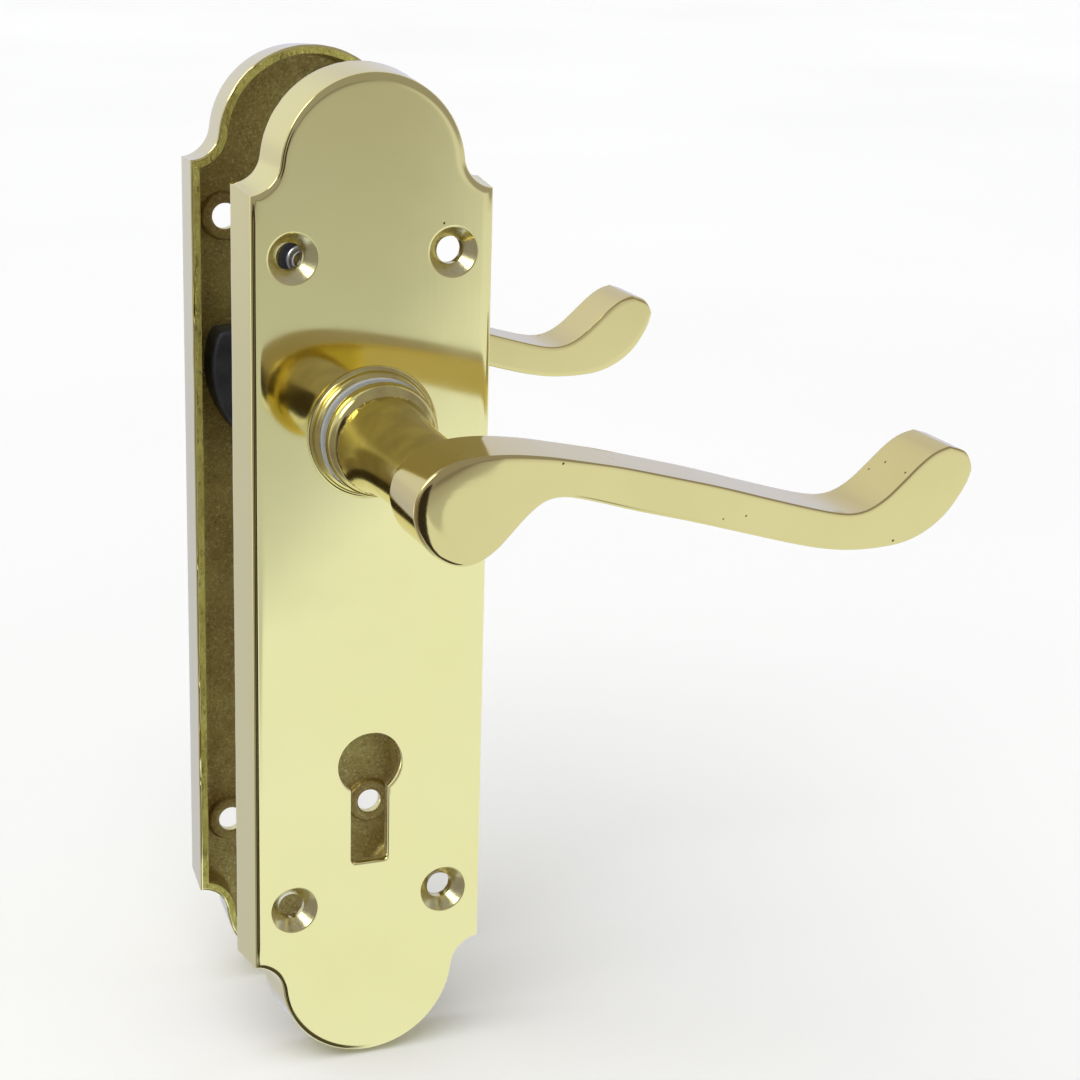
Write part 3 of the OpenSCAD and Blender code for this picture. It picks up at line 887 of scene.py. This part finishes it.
def brass_cast():
    n = Nodes("brass_as_cast")
    big = n.noise(60, 5, 0.6)
    fine = n.noise(1500, 4, 0.65)
    col = n.ramp(big, [(0.25, (0.33, 0.22, 0.07)), (0.5, (0.48, 0.385, 0.12)), (0.75, (0.63, 0.55, 0.175))])
    # speckle in the colour: the dark flecks are the cast grain, the light flecks are painted glints
    grain_and_glints = n.noise(2300, 3, 0.7)
    col = n.mix(n.map(grain_and_glints, 0.44, 0.30, 0.0, 0.62), col, (0.16, 0.10, 0.035))
    # painted glints: light flecks of bright brass mixed into the colour
    col = n.mix(n.map(grain_and_glints, 0.56, 0.70, 0.0, 0.7), col, (0.86, 0.78, 0.36))
    rough = n.map(fine, 0.3, 0.7, 0.42, 0.68)
    b = n.bump(n.noise(420, 4, 0.6), 0.7, 0.00022)
    b = n.bump(fine, 0.8, 0.00012, b)
    return n.set(Base_Color=col, Metallic=0.9, Roughness=rough, Normal=b)


def brass_rim():
    n = Nodes("brass_filed_rim")
    big = n.noise(160, 5, 0.6)
    col = n.ramp(big, [(0.3, (0.58, 0.50, 0.11)), (0.6, (0.84, 0.76, 0.19)), (0.8, (0.95, 0.89, 0.30))])
    fine = n.noise(1900, 3, 0.6, (1.0, 1.0, 0.35))
    col = n.mix(n.map(fine, 0.46, 0.32, 0.0, 0.6), col, (0.22, 0.16, 0.05))
    rough = n.map(fine, 0.3, 0.7, 0.34, 0.62)
    b = n.bump(n.noise(900, 4, 0.65), 1.0, 0.0005)
    b = n.bump(fine, 0.8, 0.0002, b)
    return n.set(Base_Color=col, Metallic=1.0, Roughness=rough, Normal=b)


def brass_turned():
    n = Nodes("brass_turned")
    col = n.ramp(n.noise(500, 3, 0.6), [(0.3, (0.74, 0.66, 0.31)), (0.7, (0.84, 0.77, 0.39))])
    fine = n.noise(1600, 3, 0.6)
    b = n.bump(n.noise(500, 2, 0.5), 0.3, 0.00005)
    b = n.bump(fine, 0.3, 0.00003, b)
    return n.set(Base_Color=col, Metallic=1.0, Roughness=n.map(fine, 0.3, 0.7, 0.14, 0.27), Normal=b)


def nylon():
    n = Nodes("nylon_moulded")
    col = n.ramp(n.noise(180, 4, 0.6), [(0.3, (0.36, 0.375, 0.39)), (0.7, (0.47, 0.485, 0.50))])
    b = n.bump(n.noise(1500, 3, 0.6), 0.25, 0.00006)
    return n.set(Base_Color=col, Roughness=n.map(n.noise(400, 3, 0.6), 0.3, 0.7, 0.32, 0.5), Normal=b)


def steel_plated():
    n = Nodes("steel_zinc_plated")
    col = n.ramp(n.noise(220, 4, 0.6), [(0.3, (0.50, 0.51, 0.52)), (0.7, (0.68, 0.69, 0.69))])
    brush = n.noise(700, 3, 0.6, (1.0, 0.06, 1.0))
    b = n.bump(brush, 0.3, 0.00004)
    return n.set(Base_Color=col, Metallic=1.0, Roughness=n.map(brush, 0.3, 0.7, 0.2, 0.38), Normal=b)


def spring_steel():
    n = Nodes("steel_spring_oiled")
    col = n.ramp(n.noise(300, 4, 0.6), [(0.3, (0.20, 0.20, 0.21)), (0.7, (0.34, 0.34, 0.35))])
    b = n.bump(n.noise(1200, 3, 0.6), 0.25, 0.00004)
    return n.set(Base_Color=col, Metallic=1.0, Roughness=n.map(n.noise(500, 3, 0.6), 0.3, 0.7, 0.22, 0.42), Normal=b)


def steel_dark():
    n = Nodes("steel_phosphated")
    col = n.ramp(n.noise(140, 5, 0.65), [(0.3, (0.045, 0.046, 0.052)), (0.6, (0.075, 0.077, 0.086)), (0.8, (0.13, 0.13, 0.14))])
    b = n.bump(n.noise(1600, 3, 0.6), 0.3, 0.00006)
    return n.set(Base_Color=col, Metallic=0.6, Roughness=n.map(n.noise(260, 4, 0.6), 0.3, 0.7, 0.34, 0.55), Normal=b)


POLISHED, LEVER = brass_polished("brass_polished"), brass_polished("brass_polished_lever", (0.71, 0.59, 0.215), (0.77, 0.64, 0.245), 0.9, wave=0.14)
NECK = brass_polished("brass_polished_neck", (0.72, 0.62, 0.205), (0.82, 0.715, 0.25), 0.3, (0.07, 0.15), 0.45, 0.10)
CAST, RIM, TURNED = brass_cast(), brass_rim(), brass_turned()
NYLON, ZINC, SPRING, DARK = nylon(), steel_plated(), spring_steel(), steel_dark()

# ------------------------------------------------------------------ build
BODY = {"front": ("front_backplate", "front_handle"), "rear": ("rear_backplate", "rear_handle")}


def put(ob, body, node):
    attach(ob, body)
    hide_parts(node)


for k, side in enumerate(SIDES):
    plate_body, lever_body = BODY[side]
    seed = 11.3 + 17.7 * k
    put(plate(side + "_backplate_casting", side, [POLISHED, CAST, RIM, TURNED, NECK], seed), plate_body, side + "_plate")
    put(lever(side + "_scroll_lever", side, [LEVER, NECK], seed), lever_body, side + "_lever")
    put(bush().build(side + "_nylon_bush", side, [NYLON], 33), plate_body, side + "_bush")
    put(spring_cover(side + "_pressed_cover", side, [DARK]), plate_body, side + "_spring_cover")
    put(rivets().build(side + "_tubular_rivets", side, [ZINC], 33), plate_body, side + "_cover_rivets")
    put(washer().build(side + "_steel_washer", side, [ZINC], 33), lever_body, side + "_thrust_washer")
    put(circlip().build(side + "_retaining_clip", side, [SPRING], 33), lever_body, side + "_circlip")
    put(grub(side + "_set_screw", side, [DARK]), lever_body, side + "_grub_screw")
    put(spring().build(side + "_torsion_spring", side, [SPRING], 40), plate_body, side + "_return_spring")
put(spindle([ZINC]), "front_handle", "spindle")

for name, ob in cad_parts.items():
    m = {"drive_cam": ZINC, "stop_pins": ZINC}.get(name.split("_", 1)[-1], ZINC)
    ob.data.materials.clear()
    ob.data.materials.append(m)
    for p in ob.data.polygons:
        p.material_index = 0

# ------------------------------------------------------------------ camera
YAW, PITCH, ROLL = math.radians(-22.459), math.radians(17.021), math.radians(1.638)
LOOK = Vector((33.271, 0.0, 2.774 - SPINDLE_UP)) * 0.001
DIST, FOCAL = 0.418287, 2453.021 / 1080 * 36
back = Vector((math.sin(YAW) * math.cos(PITCH), -math.cos(YAW) * math.cos(PITCH), math.sin(PITCH)))
right = (-back).cross(Vector((0, 0, 1))).normalized()
up = right.cross(-back)
c, s = math.cos(ROLL), math.sin(ROLL)
right, up = right * c + up * s, up * c - right * s
cam = bpy.data.cameras.new("camera")
cam.sensor_width, cam.lens, cam.clip_start, cam.clip_end = 36.0, FOCAL, 0.01, 50.0
camera = bpy.data.objects.new("camera", cam)
m = Matrix((right, up, back)).transposed().to_4x4()
m.translation = LOOK + back * DIST
camera.matrix_world = m
bpy.context.scene.collection.objects.link(camera)
bpy.context.scene.camera = camera

# ------------------------------------------------------------------ stage and light
FLOOR_Z = cad_lo.z - 0.0002


def stage_floor():
    me = bpy.data.meshes.new("floor")
    x0, x1, y0, y1 = -3.0, 3.0, -1.15, 4.0
    me.from_pydata([(x0, y0, FLOOR_Z), (x1, y0, FLOOR_Z), (x1, y1, FLOOR_Z), (x0, y1, FLOOR_Z)], [], [(0, 1, 2, 3)])
    ob = bpy.data.objects.new("floor", me)
    bpy.context.scene.collection.objects.link(ob)
    n = Nodes("floor_paper")
    col = n.ramp(n.noise(3, 2, 0.5), [(0.3, (0.90, 0.90, 0.895)), (0.7, (0.93, 0.93, 0.925))])
    ob.data.materials.append(n.set(Base_Color=col, Roughness=0.95, Specular_IOR_Level=0.1))
    ob.visible_glossy = False


stage_floor()

world = bpy.data.worlds.new("studio")
bpy.context.scene.world = world
world.use_nodes = True
wt = world.node_tree
wt.nodes.clear()


def wnode(kind, **kw):
    n = wt.nodes.new(kind)
    for k, v in kw.items():
        setattr(n, k, v)
    return n


tc = wnode("ShaderNodeTexCoord")


def direction_mask(d, lo, hi):
    """1 towards direction d, 0 away from it; lo and hi are cosines."""
    v = Vector(d).normalized()
    dot = wnode("ShaderNodeVectorMath", operation="DOT_PRODUCT")
    dot.inputs[1].default_value = v
    wt.links.new(tc.outputs["Generated"], dot.inputs[0])
    r = wnode("ShaderNodeMapRange", interpolation_type="SMOOTHSTEP")
    for i, x in enumerate((lo, hi, 0.0, 1.0)):
        r.inputs[i + 1].default_value = x
    wt.links.new(dot.outputs["Value"], r.inputs[0])
    return r.outputs[0]


def wmix(fac, a, b):
    n = wnode("ShaderNodeMix", data_type="RGBA")
    wt.links.new(fac, n.inputs[0])
    for i, v in ((6, a), (7, b)):
        if isinstance(v, tuple):
            n.inputs[i].default_value = (*v, 1)
        else:
            wt.links.new(v, n.inputs[i])
    return n.outputs[2]


def heading(az, el=0.0):
    a, e = math.radians(az), math.radians(el)
    return (math.cos(e) * math.cos(a), math.cos(e) * math.sin(a), math.sin(e))


def spot(az, el, full, none):
    """1 within full degrees of a heading, 0 beyond none degrees."""
    return direction_mask(heading(az, el), math.cos(math.radians(none)), math.cos(math.radians(full)))


def above(lo, hi):
    """0 below the elevation lo, 1 above hi, in degrees."""
    return direction_mask((0, 0, 1), math.sin(math.radians(lo)), math.sin(math.radians(hi)))


def wmath(op, a, b):
    n = wnode("ShaderNodeMath", operation=op)
    for i, v in enumerate((a, b)):
        if isinstance(v, (int, float)):
            n.inputs[i].default_value = v
        else:
            wt.links.new(v, n.inputs[i])
    return n.outputs[0]


def both(a, b):
    return wmath("MULTIPLY", a, b)


def no(a):
    return wmath("SUBTRACT", 1.0, a)


# A pale, cool room: a bright table in front, a dim side to the left, a window high on the left, a light wall behind
def cool(r, g=None, b=None):
    g, b = g or r, b or r
    return (r, g * 1.07, b * 1.46)


below = no(above(-17, -4))
col = wmix(spot(95, 25, 25, 75), cool(0.70, 0.68, 0.64), cool(0.70, 0.67, 0.62))
col = wmix(both(spot(148, 32, 34, 62), above(-5, 8)), col, cool(0.82, 0.81, 0.73))
col = wmix(both(spot(-70, 38, 46, 60), above(-5, 3)), col, cool(0.35, 0.32, 0.29))
col = wmix(below, col, cool(0.60, 0.585, 0.555))
col = wmix(both(below, spot(-50, -42, 55, 100)), col, cool(0.93, 0.97, 0.93))
col = wmix(both(spot(-158, -22, 25, 50), no(above(12, 32))), col, cool(0.30, 0.27, 0.23))
shade = both(spot(-84, -7, 13.4, 15.8), no(above(2, 12)))
col = wmix(wmath("MULTIPLY", shade, 0.36), col, cool(0.05, 0.04, 0.026))
dim = wmath("MAXIMUM", spot(-111, -6, 9, 14), spot(-111, -21, 9, 14))
col = wmix(both(dim, no(above(4, 10))), col, cool(0.24, 0.205, 0.16))
strip = wmath("MAXIMUM", spot(-104, 1, 5.5, 7), spot(-104, -4, 5.5, 7))
for el in (-9, -14, -19, -24, -29, -34, -39):   # a narrow dark band in the surroundings
    strip = wmath("MAXIMUM", strip, spot(-104, el, 5.5, 7))
col = wmix(strip, col, cool(0.04, 0.03, 0.02))
col = wmix(spot(-93, -54, 13, 19), col, cool(0.08, 0.065, 0.045))
col = wmix(spot(-146, 38, 9, 17), col, (4.6, 4.7, 4.9))
col = wmix(spot(142, -12, 4, 12), col, (1.7, 1.75, 1.9))
lp = wnode("ShaderNodeLightPath")
cam_col = wmix(lp.outputs["Is Camera Ray"], col, (0.97, 0.97, 0.97))
bg = wnode("ShaderNodeBackground")
wt.links.new(cam_col, bg.inputs[0])
wo = wnode("ShaderNodeOutputWorld")
wt.links.new(bg.outputs[0], wo.inputs[0])
world.cycles_visibility.diffuse = False      # lamps light the paper and the nylon


def area(name, loc, size, power, colour=(1, 1, 1), target=(0.02, 0.0, 0.0)):
    li = bpy.data.lights.new(name, "AREA")
    li.shape, li.size, li.size_y = "RECTANGLE", size[0], size[1]
    li.energy, li.color = power, colour
    ob = bpy.data.objects.new(name, li)
    ob.location = loc
    ob.rotation_mode = "QUATERNION"
    ob.rotation_quaternion = (Vector(target) - Vector(loc)).to_track_quat("-Z", "Y")
    bpy.context.scene.collection.objects.link(ob)
    return ob


def sun(name, direction, strength, spread):
    li = bpy.data.lights.new(name, "SUN")
    li.energy, li.angle = strength, math.radians(spread)
    ob = bpy.data.objects.new(name, li)
    ob.rotation_mode = "QUATERNION"
    ob.rotation_quaternion = Vector(direction).to_track_quat("-Z", "Y")
    bpy.context.scene.collection.objects.link(ob)
    return ob


for lamp in (sun("sky", (0.15, 0.1, -1), 2.2, 120), sun("key", (0.45, 0.35, -1), 1.35, 55)):
    lamp.visible_glossy = False      # they light the paper and the nylon, not the mirror polish
bpy.context.scene.view_settings.view_transform = "Standard"
bpy.context.scene.view_settings.look = "None"
